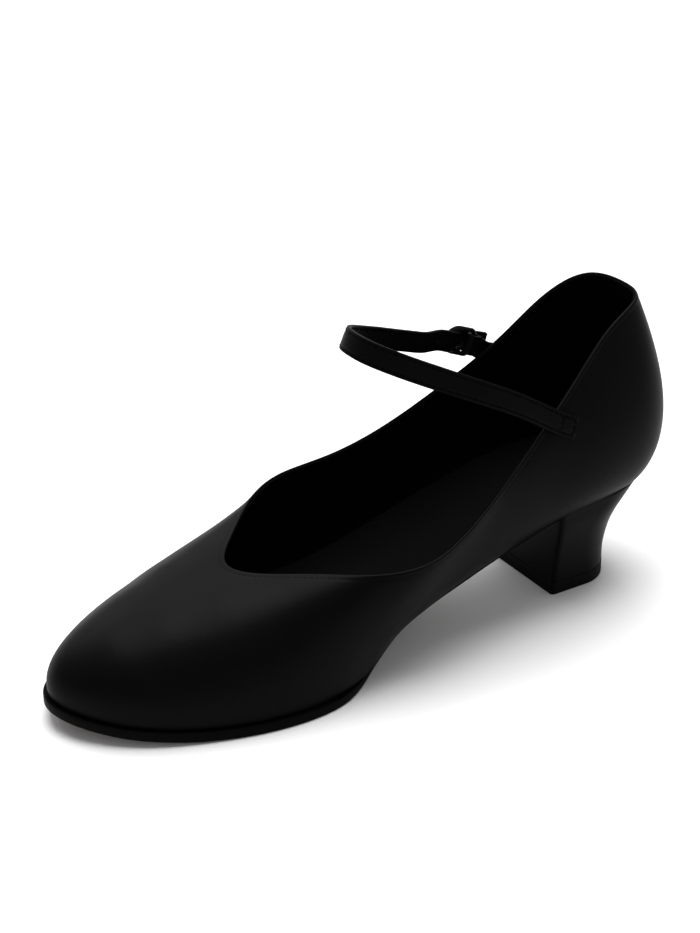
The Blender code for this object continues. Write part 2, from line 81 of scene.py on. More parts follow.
# Insole: its edge in steps of (further inset, share of the thickness), its dish and its curled sides
INSOLE_THICKNESS = 2.2
INSOLE_INSET = 2.1
INSOLE_EDGE = ((0.0, 0.0), (0.0, 0.7), (0.2, 0.9), (0.7, 1.0))
INSOLE_DISH = 0.35
DISH_POWER = 5
OUTER_CURL = 1.3
INNER_CURL = 0.5
CURL_BEGINS = (20, 60)
CURL_ENDS = (150, 185)

# Heel: the rounds at its edges are steps of (level from the edge, growth of the outline), and its plain
# rows start above the lower edge, end below the upper one and have a number. The power says how late
# the sections bend to the sole's line
HEEL_TOP_LEVEL = 39.2
TIP_HEIGHT = 5.6
TIP_OVERHANG = 0.12
TIP_SEAM = 0.06
TIP_FOOT = ((0.0, -0.4), (0.12, -0.12), (0.4, 0.0))
TIP_ROWS = (0.8, 0.5, 8)
TIP_TOP = ((-0.1, -0.03), (0.0, -0.12))
BLOCK_FOOT = ((0.0, -0.1), (0.05, -0.03), (0.15, 0.0))
BLOCK_ROWS = (1.0, 0.5, 44)
BLOCK_TOP = ((-0.2, -0.05), (0.0, -0.25))
BREAST_CORNER = 1.5
BREAST_TOP = 19.0
SEAT_POWER = 3

# Strap and tab; the holes are punched at these distances from the strap's end
STRAP_WIDTH = 8.0
STRAP_THICKNESS = 1.6
STRAP_CORNER = 0.5
STRAP_PILLOW = 0.06
END_LENGTH = 0.5
END_NARROWS = 0.07
TAB_WIDTH = 7.6
TAB_THICKNESS = 1.2
TAB_CORNER = 0.35
TAB_SEWN_POINTS = 16
HOLES_FROM_END = (7.3, 13.8, 20.3, 26.8)
HOLE_RADIUS = 0.85
HOLE_EDGE = 0.7
HOLE_DEPTH = 0.72

# Buckle
WIRE = 0.75
FRAME_LENGTH = 10.6
FRAME_HALF_WIDTH = 4.8
FRAME_FRONT_RADIUS = 4.3
FRAME_UP = 0.45
FRAME_BAR_RADIUS = 1.6
FRAME_TILT = 1.4
FRAME_RIM = 1.3
RIM_FROM_BAR = 2.5
RIM_FROM_FRONT = 2.0
PRONG = 0.6
PRONG_END = 0.0004

# Soft folds of the vamp and quarters: x, y, direction in degrees, half length, half width, rise
SOFT_FOLDS = (
    (150, 12, 62, 13, 5.0, 0.22), (158, 18, 58, 14, 5.5, -0.20), (169, 10, 70, 12, 5.5, 0.20),
    (178, -4, 84, 12, 5.0, -0.16), (186, 6, 75, 10, 5.0, 0.16), (152, -16, 110, 13, 5.5, 0.18),
    (164, -22, 100, 12, 5.5, -0.16), (104, 38, 12, 12, 4.5, -0.22), (116, 36, -18, 10, 4.5, 0.18),
    (66, 31, 8, 16, 6.0, -0.18), (10, 28, 10, 14, 6.0, 0.15), (60, -35, -8, 16, 6.0, -0.18),
    (106, -38, -10, 13, 5.0, -0.20), (118, -34, 24, 11, 5.0, 0.18), (0, -26, -12, 14, 6.0, 0.15),
)
FOLDS_FADE = 8.0

# Sewing
SEAM_INSET = 1.15
SEAM_WIDTH = 0.9
SEAM_DIP = 0.2
SEAM_STARTS = 1.6
STITCH_PITCH = 2.3
STITCH_LENGTH = 1.85
STITCH_RISE = 0.15
STITCH_REACH = 0.3
STITCH_BED = 0.06
THREAD_RADIUS = 0.19
PUCKER = 0.6
PULL = 0.4
PULL_RATE = 0.8
ROOT_SEAMS = (1.5, 7.2)
TAB_SEAM = 4.6
TAB_SEAM_LOW = 1.6
TAB_STITCH_BED = 0.02
CROSS_PITCH = 1.45
CROSS_LENGTH = 1.25
CROSS_STEPS = 40
FOOT_MIDDLE = (40.0, 0.0, 60.0)

# Topline: folded edge and its seam
FOLDED_AT = 1.0
FOLDED_WIDTH = 1.6
FOLDED_RISE = 0.07
TOPLINE_SEAM = 2.1
TOPLINE_DIP = 0.05
TOPLINE_PITCH = 1.9
TOPLINE_STITCH = 1.5
TOPLINE_THREAD = 0.15
TOPLINE_BED = 0.12

# Mesh fineness: rows, steps and sampled points
AROUND = 480
RIM_ROWS = 14
RIM_ZONE = 7.0
RIM_CROWDING = 1.3
WALL_ROWS = 44
ROUND_ROWS = 8
SLOPE_STEP = 0.01
WALL_SAMPLES = 240
LENGTH_SAMPLES = 60
OUTLINE_POINTS = 1920
TOPLINE_POINTS = 1400
CURVE_SAMPLES = 60
HEEL_AROUND = 240
CORNER_POINTS = 10
BACK_POINTS = 60

# Underside of the sole: distance from the heel's middle, level above the floor
SOLE_LINE = (
    (-40, 39.0), (-30, 38.5), (0, 36.5), (18, 34.0), (40, 25.5), (60, 16.0), (80, 7.6),
    (98, 1.6), (112, 0.0), (150, 0.0), (165, 0.4), (185, 2.3), (208, 6.4), (215, 8.2),
)
# The last, one row for each meridian of the upper, from its foot to its topline
MERIDIAN_COLUMNS = (
    "foot_x", "foot_y", "low_out", "low_up", "high_x", "high_y", "high_z", "top_x", "top_y", "top_z",
)
MERIDIANS = (
    # back of the heel
    (-32.5, 0, 10, 18, -34, 1, 85, -22.5, 0, 110),
    # inner side: quarter, heel, breast, arch, arch, waist, ball, ball, joint, toe, corner
    (-24, 18, 12, 18, -25.5, 20, 85, -17.5, 13.5, 109),
    (-6, 25, 11.5, 14, -5.5, 26.5, 77.5, -2, 18.5, 102.5),
    (17, 25.5, 11, 11, 14.5, 30, 68, 15.5, 23, 88.5),
    (41, 22.5, 10.5, 9, 37, 34, 56, 37, 28.5, 71.5),
    (65, 19.5, 10.5, 9, 60, 34.5, 44.5, 57, 33.5, 57),
    (86, 21.5, 8.5, 10.5, 79, 37, 37, 76, 37.5, 47),
    (104, 31, 3.5, 13.5, 95.5, 39.5, 35.5, 92, 38, 44),
    (125, 38, 1.5, 15, 115, 35.5, 38, 106.5, 33, 44),
    (150, 36.5, 2, 15.5, 134, 30.5, 40, 119, 23.5, 43.5),
    (176, 28, 2.5, 16, 153.5, 22.5, 38, 129.5, 14, 42),
    (195, 15.5, 3, 18.5, 169, 13, 35.5, 137, 6, 41),
    # tip of the toe
    (205, -2.5, 4, 19, 175, 0, 34, 140, -1, 41),
    # outer side, the same stations back to the heel
    (195.5, -19, 3.5, 18.5, 169, -12, 35.5, 137.5, -7.5, 42),
    (178.5, -31, 4, 17, 153.5, -22, 37.5, 130.5, -15, 43.5),
    (156.5, -39, 4.5, 16, 134, -29.5, 39, 121, -24.5, 45),
    (132.5, -42, 4.5, 14.5, 116.5, -35, 37, 110, -33.5, 46.5),
    (110, -41, 4, 14, 98, -40, 34.5, 96, -39, 47.5),
    (88, -38, 4, 12.5, 77.5, -39.5, 36.5, 77.5, -38, 50),
    (63, -34, 5, 12, 58, -37, 44, 58, -33.5, 58),
    (39, -30, 7, 12.5, 38, -33.5, 55.5, 37.5, -28, 71),
    (16, -27, 9, 13.5, 15.5, -30, 67.5, 16, -22.5, 87),
    (-7, -25.5, 10, 15.5, -4.5, -27, 77, -1.5, -19.5, 101.5),
    (-24.5, -18, 11, 18.5, -25, -20, 84.5, -17, -14, 109.5),
)
# Level above the tread, front face, half width, back, depth of the round back over the half width
HEEL_SECTIONS = (
    (0.0, 16.0, 19.2, -16.7, 0.85),
    (6.0, 16.2, 19.9, -16.3, 0.87),
    (12.0, 16.5, 20.6, -16.1, 0.90),
    (18.0, 16.9, 21.6, -16.9, 0.94),
    (24.0, 17.4, 22.8, -18.6, 0.98),
    (29.0, 17.9, 23.9, -21.2, 1.00),
    (33.5, 18.4, 24.7, -24.9, 1.02),
    (37.0, 18.8, 25.0, -28.3, 1.04),
    (39.2, 19.0, 25.2, -30.4, 1.05),
)
# Middle line of the strap, from the inner quarter over the instep to the buckle
STRAP_LOOP = (
    (35.5, 27, 82.6), (44, 25.9, 87.5), (53, 24.3, 92), (62, 22.1, 96.2), (71, 19.4, 100.4),
    (79.5, 16, 104.3), (86.8, 11, 107.6), (91.7, 4.6, 109.9), (92.0, -4.6, 110.2), (87.2, -11.5, 108.0),
    (79.5, -16.4, 104.4), (70.5, -19.9, 100.7), (61.5, -22.4, 97.1), (52.5, -24, 93.8), (45.5, -24.7, 91.7),
)
# Direction across the strap, and how much it leans in for each mm from the shoe's middle
STRAP_AXIS = (-0.39, 0.0, 0.92)
LEAN_INNER = 0.015
LEAN_OUTER = 0.003
# Sewn ends: place round the upper, share of the wall's height, extra lift; then where they turn
STRAP_SEAT = ((3.19, 0.79, 0.2), (3.54, 0.955, 0.3))
TAB_SEAT = ((21.28, 0.80, 0.1), (21.03, 0.88, 0.2), (20.79, 0.98, 0.8))
STRAP_TURNS = (2.0, 24.0)
TAB_TURNS = (9.0, 19.0)
# Buckle: its bar, the way it points, and lines given as (along, share of the rise, extra lift)
BUCKLE_BAR = (25.2, -25.5, 86.3)
BUCKLE_FORWARD = (0.94, -0.03, 0.32)
THROUGH_BUCKLE = (
    (15.1, 0.0, -0.5), (9.8, 0.0, -0.5), (4.77, 0.5, 0.0),
    (0.3, 1.0, 0.1), (-4.5, 1.0, 0.5), (-9.0, 1.0, 0.6),
)
# Tab: first and last angle and number of points of the fold round the bar, and the points beside it
TAB_FOLD = (112, -84, 8)
TAB_RISE = (-2.3, -0.1, 0.8)
TAB_END = (-1.8, 0.0, -1.75)
# Prong: angles of its curl round the bar, and its run to the rim
PRONG_CURL = (-50, -85, -120, -155, -190, -225, -255)
PRONG_RUN = ((1.6, 0.0, 0.05), (4.77, 0.0, 0.3), (8.6, 1.0, -0.2), (11.0, 1.0, 0.0), (12.2, 1.0, -0.3))

# Grain that all the leathers share: pore size as a share of the pebbles, cloud size in mm
PEBBLE_SMOOTHNESS = 0.6
PORE_SIZE = 0.45
PORE_ROUGHNESS = 0.6
PORE_SHARE = 0.4
GRAIN_DETAIL = 3.0
GRAIN_STRENGTH = 0.5
CLOUD_SIZE = 24.0
CLOUD_ROUGHNESS = 0.55
CLOUD_RANGE = (0.3, 0.7)
GLOSS_RANGE = (-0.05, 0.06)

# Sockets of a Mix node for colours
MIX_A = 6
MIX_B = 7
MIX_RESULT = 2

# Name, colour, colour of the clouds, roughness, pebble size and depth in mm, specular level
LEATHERS = {
    # Calf, pigment finish pressed smooth: deep black, with soft highlights that fine pebbles break up
    "calf": ("pressed black calf", "#050505", "#070707", 0.42, 0.8, 0.06, 0.035),
    # The same calf folded and handled: a little duller, with a more open grain
    "strap": ("folded black calf", "#050505", "#080808", 0.46, 0.7, 0.07, 0.035),
    # Dyed lining leather, left unpolished: almost no highlight, so that the inside stays a dark hollow
    "lining": ("dyed lining leather", "#020202", "#030303", 0.8, 0.6, 0.05, 0.03),
    # Napped sock leather: dark grey and matt, a little paler than the lining
    "sock": ("napped sock leather", "#080808", "#0a0a0a", 0.8, 0.7, 0.06, 0.02),
    # Thin calf stretched and cemented over the block: tighter grain and the shoe's sharpest gloss
    "heel": ("stretched calf heel cover", "#060606", "#080808", 0.4, 0.8, 0.04, 0.035),
    # Cut edge of sole leather, inked and waxed: black with a dull, faintly brown shine
    "edge": ("inked and waxed sole edge", "#020202", "#050303", 0.5, 0.5, 0.05, 0.03),
    # Bark-tanned sole leather, rolled: brown, matt, slightly cloudy
    "sole": ("rolled sole leather", "#2a1c15", "#33231b", 0.75, 0.5, 0.05, 0.2),
    # Moulded rubber: matt black with the fine sparkle of a textured mould
    "rubber": ("moulded heel tip rubber", "#040404", "#060606", 0.62, 0.3, 0.03, 0.06),
}

# Stage, in metres and watts; a softbox has a name, place, width, depth and power
FLOOR_HALF = 4.0
FLOOR_COLOUR = "#f2f2f2"
FLOOR_GLOW = 0.02
SOFTBOXES = (
    ("key softbox behind", (-0.28, -1.1, 0.98), 2.3, 1.2, 15.5),
    ("top softbox", (0.0, -0.24, 1.5), 1.2, 1.2, 29.5),
)
LIT_POINT = (0.08, 0.0, 0.04)
STUDIO_LIGHT = 0.35
WHITE = (1, 1, 1, 1)


# Curves and sections

def unit(vectors):
    vectors = np.asarray(vectors, float)
    return vectors / np.linalg.norm(vectors, axis=-1, keepdims=True)


def blend(low, high, x):
    """A smooth step from 0 at low to 1 at high."""
    s = np.clip((np.asarray(x, float) - low) / (high - low), 0.0, 1.0)
    return s * s * (3.0 - 2.0 * s)


def hump(middle, width, x):
    """A soft ridge of height 1 at middle, fading out over width to each side."""
    return np.exp(-(((np.asarray(x, float) - middle) / (0.5 * width)) ** 2))


def steady_curve(rows, x):
    """A smooth curve through the rows that never overshoots them."""
    xs, ys = (np.array(column, float) for column in zip(*rows))
    span = np.diff(xs)
    slope = np.diff(ys) / span
    tangent = np.concatenate(([slope[0]], 0.5 * (slope[1:] + slope[:-1]), [slope[-1]]))
    for i in range(1, len(xs) - 1):
        before, after = slope[i - 1], slope[i]
        if before * after <= 0.0:
            tangent[i] = 0.0
        else:
            weight = 2.0 * span[i] + span[i - 1], span[i] + 2.0 * span[i - 1]
            tangent[i] = sum(weight) / (weight[0] / before + weight[1] / after)
    x = np.clip(np.asarray(x, float), xs[0], xs[-1])
    k = np.clip(np.searchsorted(xs, x, side="right") - 1, 0, len(span) - 1)
    u = (x - xs[k]) / span[k]
    return (
        ys[k] * (1 + 2 * u) * (1 - u) ** 2
        + tangent[k] * span[k] * u * (1 - u) ** 2
        + ys[k + 1] * u * u * (3 - 2 * u)
        + tangent[k + 1] * span[k] * u * u * (u - 1)
    )


def spline_controls(points, closed):
    """Control points of the cubic B-spline that passes through the points."""
    n = len(points)
    matrix = np.zeros((n, n))
    for i in range(n):
        if closed or 0 < i < n - 1:
            matrix[i, (i - 1) % n] += 1 / 6
            matrix[i, i] += 4 / 6
            matrix[i, (i + 1) % n] += 1 / 6
        else:
            matrix[i, i] = 1.0
    return np.linalg.solve(matrix, np.asarray(points, float))


def spline(controls, t, closed):
    """Points of a cubic B-spline at parameters t, counted in control points."""
    t = np.atleast_1d(np.asarray(t, float))
    n = len(controls)
    if closed:
        i = np.floor(t).astype(int)
        before, here, after, beyond = (controls[(i + k) % n] for k in (-1, 0, 1, 2))
    else:
        i = np.clip(np.floor(t).astype(int), 0, n - 2)
        ends = np.vstack([2 * controls[0] - controls[1], controls, 2 * controls[-1] - controls[-2]])
        before, here, after, beyond = (ends[i + k] for k in (0, 1, 2, 3))
    u = (t - i)[:, None]
    return (
        (1 - u) ** 3 * before
        + (3 * u**3 - 6 * u**2 + 4) * here
        + (-3 * u**3 + 3 * u**2 + 3 * u + 1) * after
        + u**3 * beyond
    ) / 6


def sole_top(x):
    """Top of the outsole and of the heel's seat."""
    thickness = WAIST_THICKNESS + (FOREPART_THICKNESS - WAIST_THICKNESS) * blend(
        THICKENS_FROM, THICKENS_TO, x
    )
    return steady_curve(SOLE_LINE, x) + thickness - GAP


def outward(line):
    """Unit directions out of a closed plan line that runs from the back round the inner side."""
    along = np.roll(line, -1, axis=0) - np.roll(line, 1, axis=0)
    return unit(np.stack([-along[:, 1], along[:, 0]], axis=1))


class Upper:
    """The outer face of the upper: four closed splines, joined by a cubic curve up each meridian."""

    def __init__(self):
        column = dict(zip(MERIDIAN_COLUMNS, np.array(MERIDIANS, float).T))
        foot = np.stack([column["foot_x"], column["foot_y"]], axis=1)
        foot_z = sole_top(foot[:, 0]) + GAP
        low = foot + outward(foot) * column["low_out"][:, None]
        rings = (
            np.column_stack([foot, foot_z]),
            np.column_stack([low, foot_z + column["low_up"]]),
            np.stack([column["high_x"], column["high_y"], column["high_z"]], axis=1),
            np.stack([column["top_x"], column["top_y"], column["top_z"]], axis=1),
        )
        self.rings = [spline_controls(ring, closed=True) for ring in rings]

    def point(self, t, h):
        t = np.atleast_1d(np.asarray(t, float))
        h = np.broadcast_to(np.asarray(h, float), t.shape)[:, None]
        foot, low, high, top = (spline(ring, t, closed=True) for ring in self.rings)
        return (
            (1 - h) ** 3 * foot + 3 * (1 - h) ** 2 * h * low + 3 * (1 - h) * h**2 * high + h**3 * top
        )

    def normal(self, t, h):
        t = np.atleast_1d(np.asarray(t, float))
        h = np.broadcast_to(np.asarray(h, float), t.shape)
        upper_end = np.minimum(h + SLOPE_STEP, 1.0)
        up = self.point(t, upper_end) - self.point(t, upper_end - 2 * SLOPE_STEP)
        along = self.point(t + SLOPE_STEP, h) - self.point(t - SLOPE_STEP, h)
        return unit(np.cross(up, along))

    def lifted(self, t, h, lift):
        return (self.point(t, h) + self.normal(t, h) * lift)[0]

    def heights(self, t, drop):
        """Share of the wall's height at a distance below the topline; below 0 counts from the foot."""
        steps = np.linspace(1.0, 0.0, WALL_SAMPLES)
        result = np.empty_like(drop)
        for value in np.unique(t):
            here = t == value
            line = self.point(np.full(len(steps), value), steps)
            travelled = np.concatenate(([0], np.cumsum(np.linalg.norm(np.diff(line, axis=0), axis=1))))
            wanted = np.where(drop[here] < 0, travelled[-1] + drop[here], drop[here])
            result[here] = np.interp(wanted, travelled, steps)
        return result

    def length(self, t):
        """Length of the wall from topline to foot at each t."""
        steps = np.linspace(1.0, 0.0, LENGTH_SAMPLES)
        found = {}
        for value in np.unique(t):
            line = self.point(np.full(len(steps), value), steps)
            found[value] = np.linalg.norm(np.diff(line, axis=0), axis=1).sum()
        return np.array([found[value] for value in t])

    def foot_outline(self, inset):
        """The line where the wall meets the sole, moved inwards in plan by inset(x)."""
        t = np.linspace(0, len(MERIDIANS), OUTLINE_POINTS, endpoint=False)
        line = self.point(t, 0.0)[:, :2]
        return line - outward(line) * inset(line[:, 0])[:, None]


def strap_axis(y):
    """The direction across the strap: it leans in at the top on both sides of the instep."""
    y = np.asarray(y, float)
    lean = LEAN_INNER * np.maximum(y, 0.0) + LEAN_OUTER * np.minimum(y, 0.0)
    return np.stack([STRAP_AXIS[0] + 0 * y, -lean, STRAP_AXIS[2] + 0 * y], axis=-1)


class Buckle:
    """Directions at the buckle: forward along the strap, across it and away from the foot."""

    def __init__(self):
        self.bar = np.array(BUCKLE_BAR, float)
        self.forward = unit(BUCKLE_FORWARD)
        axis = strap_axis(self.bar[1])
        self.across = unit(axis - self.forward * axis.dot(self.forward))
        self.out = np.cross(self.forward, self.across)

    def place(self, along, across, out):
        return self.bar + along * self.forward + across * self.across + out * self.out


def directions(middle):
    """Unit direction at each point of a line."""
    return unit(np.gradient(middle, axis=0))


def ribbon_frames(middle, guide):
    """Across and through directions of a ribbon, from a guide direction at each point."""
    along = directions(middle)
    across = unit(guide - along * np.sum(guide * along, axis=1)[:, None])
    return across, np.cross(along, across)


def even_points(points, count):
    """Points at even distances along the spline through the given points."""
    controls = spline_controls(points, closed=False)
    steps = np.linspace(0, len(points) - 1, CURVE_SAMPLES * len(points))
    dense = spline(controls, steps, closed=False)
    travelled = np.concatenate(([0], np.cumsum(np.linalg.norm(np.diff(dense, axis=0), axis=1))))
    wanted = np.linspace(0, travelled[-1], count)
    return np.column_stack([np.interp(wanted, travelled, dense[:, k]) for k in range(3)]), wanted


# Meshes

def finished(work, name, materials, sharp_from=45.0):
    """Turns a bmesh into a piece that rides with the shoe; edges past sharp_from degrees stay sharp."""
    bmesh.ops.recalc_face_normals(work, faces=work.faces)
    mesh = bpy.data.meshes.new(name)
    work.to_mesh(mesh)
    work.free()
    for material in materials:
        mesh.materials.append(material)
    mesh.shade_smooth()
    mesh.set_sharp_from_angle(angle=math.radians(sharp_from))
    piece = bpy.data.objects.new(name, mesh)
    bpy.context.scene.collection.objects.link(piece)
    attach(piece, "root")
    return piece


def sheet_of(columns, rows, place):
    """A grid whose vertices go where place(u, v) says; edges that meet are joined and holes closed."""
    work = bmesh.new()
    bmesh.ops.create_grid(work, x_segments=columns, y_segments=rows, size=0.5)
    flat = np.array([vertex.co[:2] for vertex in work.verts]) + 0.5
    points = place(np.round(flat[:, 0] * columns) / columns, np.round(flat[:, 1] * rows) / rows)
    for vertex, point in zip(work.verts, points * MM):
        vertex.co = point
    bmesh.ops.remove_doubles(work, verts=work.verts, dist=MERGE)
    open_edges = [edge for edge in work.edges if edge.is_boundary]
    if open_edges:
        bmesh.ops.holes_fill(work, edges=open_edges)
    return work


def swept(middle, across, through, section, relief=None, scale=None):
    """A section carried along a line; relief(side, distance) swells it, scale narrows it."""
    columns, rows = len(section), len(middle) - 1
    section = np.array(section, float)
    length = np.linalg.norm(np.diff(middle, axis=0), axis=1).sum()

    def place(u, v):
        i = np.round(u * columns).astype(int) % columns
        k = np.round(v * rows).astype(int)
        a, b = section[i, 0], section[i, 1]
        if relief is not None:
            b = b + np.sign(b) * relief(a, v * length)
        if scale is not None:
            a, b = a * scale[k], b * scale[k]
        return middle[k] + a[:, None] * across[k] + b[:, None] * through[k]

    return sheet_of(columns, rows, place)


def bar_section(width, thickness, radius, flat_steps=22, side_steps=2, corner_steps=5):
    """Points round a flat bar with round corners."""
    a, b = width / 2 - radius, thickness / 2 - radius
    # Middle of each corner, the angle where it starts, points on the flat after it, end of that flat
    corners = (
        (a, b, 0, flat_steps, (-a, b + radius)),
        (-a, b, 90, side_steps, (-a - radius, -b)),
        (-a, -b, 180, flat_steps, (a, -b - radius)),
        (a, -b, 270, side_steps, (a + radius, b)),
    )
    points = []
    for corner_a, corner_b, first, steps, (to_a, to_b) in corners:
        for angle in np.radians(np.linspace(first, first + 90, corner_steps)):
            points.append((corner_a + radius * math.cos(angle), corner_b + radius * math.sin(angle)))
        from_a, from_b = points[-1]
        for share in np.linspace(0, 1, steps + 2)[1:-1]:
            points.append((from_a + (to_a - from_a) * share, from_b + (to_b - from_b) * share))
    return points


def ring_section(radius, count):
    """Points round a wire."""
    turns = np.linspace(0, 2 * math.pi, count, endpoint=False)
    return [(radius * math.cos(turn), radius * math.sin(turn)) for turn in turns]


def sew(work, points, normals, pitch, length, radius):
    """Rows of stitches along a line: small spindles that dip into the leather at their ends."""
    travelled = np.concatenate(([0], np.cumsum(np.linalg.norm(np.diff(points, axis=0), axis=1))))
    count = int(travelled[-1] / pitch)
    middle = (np.arange(count) + 0.5) * travelled[-1] / max(count, 1)
    place = np.column_stack([np.interp(middle, travelled, points[:, k]) for k in range(3)])
    ahead = np.column_stack([np.interp(middle + STITCH_REACH, travelled, points[:, k]) for k in range(3)])
    behind = np.column_stack([np.interp(middle - STITCH_REACH, travelled, points[:, k]) for k in range(3)])
    up = np.column_stack([np.interp(middle, travelled, normals[:, k]) for k in range(3)])
    ball = bmesh.new()
    bmesh.ops.create_uvsphere(ball, u_segments=8, v_segments=6, radius=1.0)
    spindle = bpy.data.meshes.new("spindle")
    ball.to_mesh(spindle)
    ball.free()
    for centre, along, out in zip(place, unit(ahead - behind), unit(up)):
        side = unit(np.cross(out, along))
        out = np.cross(along, side)
        centre = centre + out * radius * STITCH_RISE
        columns = np.column_stack([side * radius, out * radius, along * length * 0.5])
        turn = Matrix([[*columns[row] * MM, centre[row] * MM] for row in range(3)] + [[0, 0, 0, 1]])
        stitch = spindle.copy()
        stitch.transform(turn)
        work.from_mesh(stitch)
        bpy.data.meshes.remove(stitch)
    bpy.data.meshes.remove(spindle)


# Materials

def linear(colour):
    """A shader colour from an sRGB hex value."""
    channels = [int(colour[i : i + 2], 16) / 255 for i in (1, 3, 5)]
    return (*[c / 12.92 if c <= 0.04045 else ((c + 0.055) / 1.055) ** 2.4 for c in channels], 1.0)


def new_material(name, colour, roughness, specular=0.5, metallic=0.0):
    material = bpy.data.materials.new(name)
    material.use_nodes = True
    shader = material.node_tree.nodes["Principled BSDF"]
    shader.inputs["Base Color"].default_value = linear(colour)
    shader.inputs["Roughness"].default_value = roughness
    shader.inputs["Specular IOR Level"].default_value = specular
    shader.inputs["Metallic"].default_value = metallic
    return material, material.node_tree, shader


def add(tree, kind, settings=(), links=()):
    """Adds a node with its settings, and links (input, node, output) into it."""
    node = tree.nodes.new(kind)
    for key, value in dict(settings).items():
        if key in node.inputs:
            node.inputs[key].default_value = value
        else:
            setattr(node, key, value)
    for name, source, output in links:
        tree.links.new(source.outputs[output], node.inputs[name])
    return node


def per_mm(size):
    """Texture scale, on coordinates in metres, of a pattern whose cells are size millimetres wide."""
    return 1.0 / (size * MM)


def grained_leather(name, colour, clouds, roughness, grain, depth, specular):
    """Fine pebbles and pores that break up the highlights, under slow clouds of gloss and tone."""
    material, tree, shader = new_material(name, colour, roughness, specular)
    where = [("Vector", add(tree, "ShaderNodeTexCoord"), "Object")]
    pebbles = add(tree, "ShaderNodeTexVoronoi", {
        "feature": "SMOOTH_F1",
        "Scale": per_mm(grain),
        "Smoothness": PEBBLE_SMOOTHNESS,
    }, where)
    pores = add(tree, "ShaderNodeTexNoise", {
        "Scale": per_mm(grain * PORE_SIZE),
        "Detail": GRAIN_DETAIL,
        "Roughness": PORE_ROUGHNESS,
    }, where)
    cloudy = add(tree, "ShaderNodeTexNoise", {
        "Scale": per_mm(CLOUD_SIZE),
        "Detail": GRAIN_DETAIL,
        "Roughness": CLOUD_ROUGHNESS,
    }, where)
    relief = add(tree, "ShaderNodeMix", {"data_type": "FLOAT", "Factor": PORE_SHARE},
                 [("A", pebbles, "Distance"), ("B", pores, "Fac")])
    bump = add(tree, "ShaderNodeBump", {"Strength": GRAIN_STRENGTH, "Distance": depth * MM},
               [("Height", relief, "Result")])
    gloss = add(tree, "ShaderNodeMapRange", {
        "From Min": CLOUD_RANGE[0],
        "From Max": CLOUD_RANGE[1],
        "To Min": roughness + GLOSS_RANGE[0],
        "To Max": roughness + GLOSS_RANGE[1],
    }, [("Value", cloudy, "Fac")])
    tone = add(tree, "ShaderNodeMix", {"data_type": "RGBA"}, [("Factor", cloudy, "Fac")])
    tone.inputs[MIX_A].default_value = linear(colour)
    tone.inputs[MIX_B].default_value = linear(clouds)
    tree.links.new(bump.outputs["Normal"], shader.inputs["Normal"])
    tree.links.new(gloss.outputs["Result"], shader.inputs["Roughness"])
    tree.links.new(tone.outputs[MIX_RESULT], shader.inputs["Base Color"])
    return material


# Upper

def wall_shell(shape, name, outer, inner, drop, materials):
    """A closed wall between two depths below the upper's outer face, with a round top edge."""
    radius = 0.5 * (inner - outer)
    outer_rows = RIM_ROWS + WALL_ROWS
    rows = 2 * outer_rows + ROUND_ROWS + 1

    def place(u, v):
        t = u * len(MERIDIANS)
        row = np.round(v * rows).astype(int) % rows
        inside = row > outer_rows + ROUND_ROWS
        step = np.where(inside, rows - 1 - row, row)
        from_top = np.clip(outer_rows - step, 0, outer_rows)
        length = shape.length(t) - drop
        near = radius + (RIM_ZONE - radius) * (from_top / RIM_ROWS) ** RIM_CROWDING
        far = RIM_ZONE + (length - RIM_ZONE) * (from_top - RIM_ROWS) / WALL_ROWS
        below = np.where(from_top <= RIM_ROWS, near, far)
        h = shape.heights(t, below + drop)
        h = np.where(from_top == outer_rows, 0.0, h)
        base, out = shape.point(t, h), shape.normal(t, h)
        turn = math.pi * np.clip(row - outer_rows, 0, ROUND_ROWS) / ROUND_ROWS
        turn = np.where(inside, math.pi, turn)
        middle = 0.5 * (outer + inner)
        above = np.minimum(h + 0.5 * SLOPE_STEP, 1.0)
        up = unit(shape.point(t, above) - shape.point(t, above - SLOPE_STEP))
        on_rim = (row >= outer_rows) & (row <= outer_rows + ROUND_ROWS)
        rise = np.where(on_rim, radius * np.sin(turn), 0.0)
        side = radius * np.cos(turn)
        if outer == 0.0:
            side = side + np.where(inside, 0.0, outer_relief(base, below))
        return base + out * (side - middle)[:, None] + up * rise[:, None]

    return finished(sheet_of(AROUND, rows, place), name, materials)


def outer_relief(points, below):
    """Folded edge and seam dip of the topline, and the soft folds of the worn leather."""
    relief = FOLDED_RISE * hump(FOLDED_AT, FOLDED_WIDTH, below) * (below < TOPLINE_SEAM)
    relief = relief - TOPLINE_DIP * hump(TOPLINE_SEAM, SEAM_WIDTH, below)
    fade = blend(0, FOLDS_FADE, below)
    for x, y, turn, length, width, rise in SOFT_FOLDS:
        dx, dy = points[:, 0] - x, points[:, 1] - y
        cosine, sine = math.cos(math.radians(turn)), math.sin(math.radians(turn))
        along, side = dx * cosine + dy * sine, dy * cosine - dx * sine
        relief = relief + rise * np.exp(-((along / length) ** 2) - (side / width) ** 2) * fade
    return relief


def topline_seam(shape, thread):
    t = np.linspace(0, len(MERIDIANS), TOPLINE_POINTS)
    h = shape.heights(t, np.full(len(t), TOPLINE_SEAM))
    normals = shape.normal(t, h)
    line = shape.point(t, h) - normals * TOPLINE_BED
    work = bmesh.new()
    sew(work, line, normals, TOPLINE_PITCH, TOPLINE_STITCH, TOPLINE_THREAD)
    finished(work, "topline_stitching", [thread])


# Sole and insole

